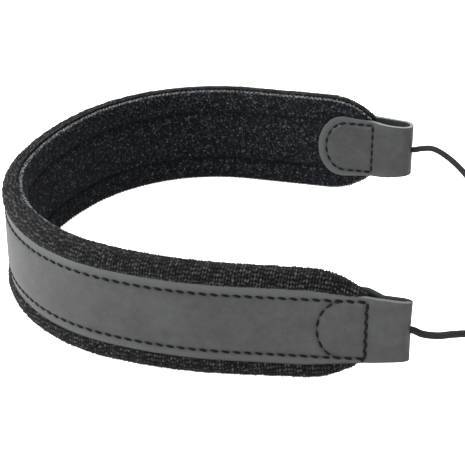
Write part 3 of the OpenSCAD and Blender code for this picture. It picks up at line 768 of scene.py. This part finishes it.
# Near its rows of stitches the leather is drawn in; between them it swells, and outside them it flares
gap = stitch_line(u, z, outer, loop, tab)
sewn = np.clip((u - loop + 4 * mm) / (3 * mm), 0, 1)
rim = 1 - np.hypot((u - tab + tab_end) / tab_end, z / strap_half(u))
edge_gap = np.where(~outer & (u > tab - tab_end), rim * (tab_end + 2 * mm), strap_half(u) - np.abs(z))
inside_row = np.clip((edge_gap - 3.2 * mm) / mm, 0, 1)
pull_depth, flare_depth, crown_height, tab_swell, rumple_depth = 0.4 * mm, 0.42 * mm, 0.35 * mm, 0.45 * mm, 0.22 * mm
pull = pull_depth * np.exp(-(gap / (0.8 * mm)) ** 2)
flare = flare_depth * np.clip(1 - edge_gap / (3.6 * mm), 0, 1) ** 1.4
crown = crown_height * (1 - np.exp(-(gap / (2.6 * mm)) ** 2)) * inside_row
in_tab = inside_row * (u < tab - 3 * mm) * (u > loop)
rumple = grain_of(np.stack([s * 95, z * 120, outer * 3.0], 1), 21)
swell = in_tab * (tab_swell + rumple_depth * rumple) * (1 - np.exp(-(gap / (1.6 * mm)) ** 2)) + 0.05 * mm * rumple
offset = sewn * (crown - pull - flare) + swell
# The back loop stands open like a drop; the front one has been pinched shut along its edges
slack = np.sin(math.pi * np.clip((loop + 0.5 * mm - u) / (loop - 1.5 * mm), 0, 1)) ** 1.5
pinch = np.clip(np.abs(w) * 1.6 - 0.5, 0, 1) ** 1.2
back_slack, front_slack, tightest = 1.7 * mm, 1.2 * mm, 0.62
offset = offset + np.where(outer, 0, np.where(p < 0, back_slack, front_slack * (1 - pinch)) * slack)
fold_n = -0.3 * mm
n = fold_n + (fold_radius + offset) * np.cos(angle)
squeeze = np.where(p < 0, 0, tightest * pinch * np.clip((loop - u) / (6 * mm), 0, 1))
n = leather_n - (leather_n - n) * (1 - squeeze)
s = s + offset * np.sin(angle)
set_coordinates(leather_mesh, np.stack([way * s, n, mid + z], 1))
# How far the dye has worn near the edges, how dark the pricked rows are, and how pale the cut edge is: bare fibre on
# the back loop, and darkest on the front arm's inner wall and tab, as painted shade for the slit of the pinched loop
paint(leather_mesh, "worn", np.clip(1 - edge_gap / (4.2 * mm), 0, 1) * np.clip((u - 4 * mm) / (24 * mm), 0, 1))
paint(leather_mesh, "pricked", sewn * np.exp(-(gap / (0.9 * mm)) ** 2))
# Painted shade: the front arm's inner wall and tab edges get 0, the darkest edge colour, for the shaded slit of the
# pinched loop
paint(leather_mesh, "bare_fibre_and_slit_shade", np.where(p < 0, 0.35 + 0.65 * np.clip((28 * mm - u) / (8 * mm), 0, 1), 0.5 * outer))
lay_on_collar(leather_mesh)

# Corrected-grain cowhide: fine pebbles about 0.6 mm across under a satin finish, paler where the edge has
# been rubbed and darker in the pricked rows
hide, shader, links = new_material("corrected-grain cowhide")
place = add_node(hide, "ShaderNodeTexCoord", [])
pebbles = add_node(hide, "ShaderNodeTexVoronoi", [("Vector", place.outputs["Object"]), ("Scale", 1 / (0.6 * mm))],
                   feature="SMOOTH_F1")
clouds = add_node(hide, "ShaderNodeTexNoise", [("Vector", place.outputs["Object"]), ("Scale", 1 / (16 * mm)),
                                               ("Detail", 6.0), ("Roughness", 0.85)])
pores = add_node(hide, "ShaderNodeTexNoise", [("Vector", place.outputs["Object"]), ("Scale", 1 / (0.9 * mm)),
                                              ("Detail", 4.0), ("Roughness", 0.65)])
worn = add_node(hide, "ShaderNodeAttribute", [], attribute_name="worn")
pricked = add_node(hide, "ShaderNodeAttribute", [], attribute_name="pricked")
mottle = add_node(hide, "ShaderNodeMapRange", [("Value", clouds.outputs["Fac"]), ("From Min", 0.36),
                                               ("From Max", 0.64)])
base = add_node(hide, "ShaderNodeMix", [("Factor", mottle.outputs[0]), ("A", linear("#252526")),
                                        ("B", linear("#363738"))], data_type="RGBA")
rubbed_amount = add_node(hide, "ShaderNodeMath", [(0, worn.outputs["Fac"]), (1, 0.7)], operation="MULTIPLY")
rubbed = add_node(hide, "ShaderNodeMix", [("Factor", rubbed_amount.outputs[0]), ("A", base.outputs["Result"]),
                                          ("B", linear("#4d4f50"))], data_type="RGBA")
dark_amount = add_node(hide, "ShaderNodeMath", [(0, pricked.outputs["Fac"]), (1, 0.7)], operation="MULTIPLY")
dyed = add_node(hide, "ShaderNodeMix", [("Factor", dark_amount.outputs[0]), ("A", rubbed.outputs["Result"]),
                                        ("B", linear("#131314"))], data_type="RGBA")
gloss = add_node(hide, "ShaderNodeMapRange", [("Value", pores.outputs["Fac"]), ("From Min", 0.3),
                                              ("From Max", 0.7), ("To Min", 0.42), ("To Max", 0.56)])
relief = add_node(hide, "ShaderNodeMath", [(0, pores.outputs["Fac"]), (1, 0.5), (2, pebbles.outputs["Distance"])],
                  operation="MULTIPLY_ADD")
bump = add_node(hide, "ShaderNodeBump", [("Height", relief.outputs[0]), ("Distance", 0.05 * mm),
                                         ("Strength", 0.7)])
links.new(dyed.outputs["Result"], shader.inputs["Base Color"])
links.new(gloss.outputs[0], shader.inputs["Roughness"])
links.new(bump.outputs[0], shader.inputs["Normal"])
shader.inputs["IOR"].default_value = 1.48

# The cut edge has been painted dark, and is raw, fibrous and pale where the paint has rubbed off the back loop. On
# the front arm the outer edge is half-way to pale, and the inner wall and tab keep the darkest colour as painted
# shade for the narrow slit of the pinched loop
raw_edge, shader, links = new_material("raw cut leather edge")
place = add_node(raw_edge, "ShaderNodeTexCoord", [])
fibres = add_node(raw_edge, "ShaderNodeTexNoise", [("Vector", place.outputs["Object"]), ("Scale", 1 / (0.7 * mm)),
                                                   ("Detail", 4.0)])
bare_fibre_and_slit_shade = add_node(raw_edge, "ShaderNodeAttribute", [], attribute_name="bare_fibre_and_slit_shade")
fibre = add_node(raw_edge, "ShaderNodeMix", [("Factor", fibres.outputs["Fac"]), ("A", linear("#63676a")),
                                             ("B", linear("#94999b"))], data_type="RGBA")
colours = add_node(raw_edge, "ShaderNodeMix", [("Factor", bare_fibre_and_slit_shade.outputs["Fac"]), ("A", linear("#141415")),
                                               ("B", fibre.outputs["Result"])], data_type="RGBA")
bump = add_node(raw_edge, "ShaderNodeBump", [("Height", fibres.outputs["Fac"]), ("Distance", 0.15 * mm)])
links.new(colours.outputs["Result"], shader.inputs["Base Color"])
links.new(bump.outputs[0], shader.inputs["Normal"])
shader.inputs["Roughness"].default_value = 0.85

leather_mesh.materials.append(hide)
leather_mesh.materials.append(raw_edge)
leather_strap = new_piece("cowhide_strap", leather_mesh, hide)
wall = leather_strap.modifiers.new("hide", "SOLIDIFY")
wall.thickness = leather_thick
wall.offset = 0
wall.material_offset_rim = 1
edge = leather_strap.modifiers.new("skived edge", "BEVEL")
edge.width = 0.35 * mm
edge.segments = 2
edge.limit_method = "ANGLE"
edge.angle_limit = math.radians(60)
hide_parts("leather_strap")

# ---------------------------------------------------------------------------------------------------------
# Stitching: black waxed polyester thread, two rows along the strap and a closed row round each tab. The
# stitches lean a little, as a saddler's do, and draw the leather down.
pitch, stitch_half, thread_half = 4.3 * mm, 1.65 * mm, 0.64 * mm
waxed, shader, links = new_material("waxed thread")
place = add_node(waxed, "ShaderNodeTexCoord", [])
twist = add_node(waxed, "ShaderNodeTexNoise", [("Vector", place.outputs["Object"]), ("Scale", 1 / (0.5 * mm)),
                                               ("Detail", 2.0)])
colours = add_node(waxed, "ShaderNodeMix", [("Factor", twist.outputs["Fac"]), ("A", linear("#020202")),
                                            ("B", linear("#070708"))], data_type="RGBA")
bump = add_node(waxed, "ShaderNodeBump", [("Height", twist.outputs["Fac"]), ("Distance", 0.15 * mm)])
links.new(colours.outputs["Result"], shader.inputs["Base Color"])
links.new(bump.outputs[0], shader.inputs["Normal"])
shader.inputs["Roughness"].default_value = 0.5
shader.inputs["Specular IOR Level"].default_value = 0.15
stitch_ball = ball(8, 7)


def stitch(bm, at, out, z, turn, lean=12):
    """One stitch lying on the leather: a fat middle and two ends that go down into their holes."""
    add_ball(bm, *stitch_ball, Matrix.Translation((at, out, z)) @ Matrix.Rotation(math.radians(turn + lean), 4, "Y")
             @ Matrix.Diagonal((stitch_half, thread_half, thread_half, 1)))


def sewn_row(bm, name, node):
    mesh = to_mesh(bm, name)
    lay_on_collar(mesh)
    row = new_piece(name, mesh, waxed)
    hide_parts(node)


sunk, tab_middle = 0.28 * mm, -4.4 * mm
face_n = leather_n + leather_thick / 2 - sunk
tab_n = tab_middle - leather_thick / 2 + sunk
for name, up in (("upper", 1), ("lower", -1)):
    bm = bmesh.new()
    for side, bends, straight in ((-1, back_bends, back_straight * mm - back_loop),
                                  (1, front_bends, front_straight * mm - front_loop)):
        start = 0
        for run in [radius * mm * math.radians(turn) for radius, turn in bends] + [straight]:
            count = round(run / pitch)
            for j in range(count):
                stitch(bm, side * (start + (j + 0.5) * run / count), face_n, mid + up * row_offset, 0)
            start += run
    sewn_row(bm, name + "_row", name + "_stitching")
for side, name, length, loop, tab in ((-1, "back", back_length, back_loop, back_tab),
                                      (1, "front", front_length, front_loop, front_tab)):
    bm = bmesh.new()
    centre = tab - tab_end
    count = round(math.pi * (row_offset + end_row) / 2 / pitch)
    for out in (face_n, tab_n):
        for j in range(count):
            a = math.radians(-90 + 180 * (j + 0.5) / count)
            turn = math.degrees(math.atan2(end_row * math.sin(a), row_offset * math.cos(a)))
            stitch(bm, side * (length - centre - end_row * math.cos(a)), out, mid + row_offset * math.sin(a),
                   side * (turn + 90), 0)
        closing = round(2 * row_offset / pitch)
        for j in range(closing):
            height = mid - row_offset + (j + 0.5) * 2 * row_offset / closing
            stitch(bm, side * (length - loop), out, height, 90, 0)
            if side == 1 and out == face_n:  # sewn over a second time, half a stitch further on
                stitch(bm, length - loop - 0.6 * mm, out, height - pitch / 2, 90, 24)
    for j in range(round((centre - loop) / pitch)):
        for up in (-1, 1):
            stitch(bm, side * (length - loop - (j + 0.5) * pitch), tab_n, mid + up * row_offset, 0, 4)
    sewn_row(bm, name + "_tab_row", name + "_tab_stitching")

# ---------------------------------------------------------------------------------------------------------
# Adjuster, swivel eye and snap hook: a black moulded slider, and nickel-plated castings with every edge
# eased. Each keeps the shape and place of its working part.
nickel, shader, links = new_material("nickel plate")
place = add_node(nickel, "ShaderNodeTexCoord", [])
haze = add_node(nickel, "ShaderNodeTexNoise", [("Vector", place.outputs["Object"]), ("Scale", 1 / (3 * mm)),
                                               ("Detail", 6.0), ("Roughness", 0.7)])
gloss = add_node(nickel, "ShaderNodeMapRange", [("Value", haze.outputs["Fac"]), ("From Min", 0.3),
                                                ("From Max", 0.7), ("To Min", 0.12), ("To Max", 0.3)])
bump = add_node(nickel, "ShaderNodeBump", [("Height", haze.outputs["Fac"]), ("Distance", 0.02 * mm)])
links.new(gloss.outputs[0], shader.inputs["Roughness"])
links.new(bump.outputs[0], shader.inputs["Normal"])
shader.inputs["Base Color"].default_value = linear("#c9c5bd")
shader.inputs["Metallic"].default_value = 1.0

wire_steel, shader, links = new_material("drawn steel wire")
place = add_node(wire_steel, "ShaderNodeTexCoord", [])
drawn = add_node(wire_steel, "ShaderNodeTexNoise", [("Vector", place.outputs["Object"]), ("Scale", 1 / (0.8 * mm))])
gloss = add_node(wire_steel, "ShaderNodeMapRange", [("Value", drawn.outputs["Fac"]), ("To Min", 0.25),
                                                    ("To Max", 0.45)])
links.new(gloss.outputs[0], shader.inputs["Roughness"])
shader.inputs["Base Color"].default_value = linear("#9a9b9c")
shader.inputs["Metallic"].default_value = 1.0

moulded, shader, links = new_material("moulded black acetal")
place = add_node(moulded, "ShaderNodeTexCoord", [])
spark = add_node(moulded, "ShaderNodeTexNoise", [("Vector", place.outputs["Object"]), ("Scale", 1 / (0.35 * mm)),
                                                 ("Detail", 3.0)])
colours = add_node(moulded, "ShaderNodeMix", [("Factor", spark.outputs["Fac"]), ("A", linear("#101011")),
                                              ("B", linear("#1b1b1c"))], data_type="RGBA")
bump = add_node(moulded, "ShaderNodeBump", [("Height", spark.outputs["Fac"]), ("Distance", 0.05 * mm)])
links.new(colours.outputs["Result"], shader.inputs["Base Color"])
links.new(bump.outputs[0], shader.inputs["Normal"])
shader.inputs["Roughness"].default_value = 0.5


def eased(node, name, width, material, body):
    """A copy of a working part with its doubles merged and its edges rounded."""
    bm = bmesh.new()
    bm.from_mesh(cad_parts[node].data)
    bmesh.ops.remove_doubles(bm, verts=bm.verts, dist=0.004 * mm)
    bmesh.ops.dissolve_limit(bm, angle_limit=math.radians(1), verts=bm.verts, edges=bm.edges)
    mesh = to_mesh(bm, name)
    mesh.materials.clear()
    piece = new_piece(name, mesh, material, body)
    edge = piece.modifiers.new("eased edge", "BEVEL")
    edge.width = width
    edge.segments = 3
    edge.limit_method = "ANGLE"
    edge.angle_limit = math.radians(35)
    edge.harden_normals = True
    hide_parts(node)
    return piece


on_cord = [eased("adjuster", "sliding_adjuster", 0.5 * mm, moulded, "slider"),
           eased("swivel_eye", "wire_eye", 0.15 * mm, nickel, "swivel"),
           eased("hook_body", "snap_hook", 0.45 * mm, nickel, "hook"),
           eased("gate", "sprung_gate", 0.3 * mm, nickel, "gate_lever"),
           eased("gate_pin", "rivet_pin", 0.15 * mm, wire_steel, "hook"),
           eased("gate_spring", "coil_spring", 0.02 * mm, wire_steel, "hook")]
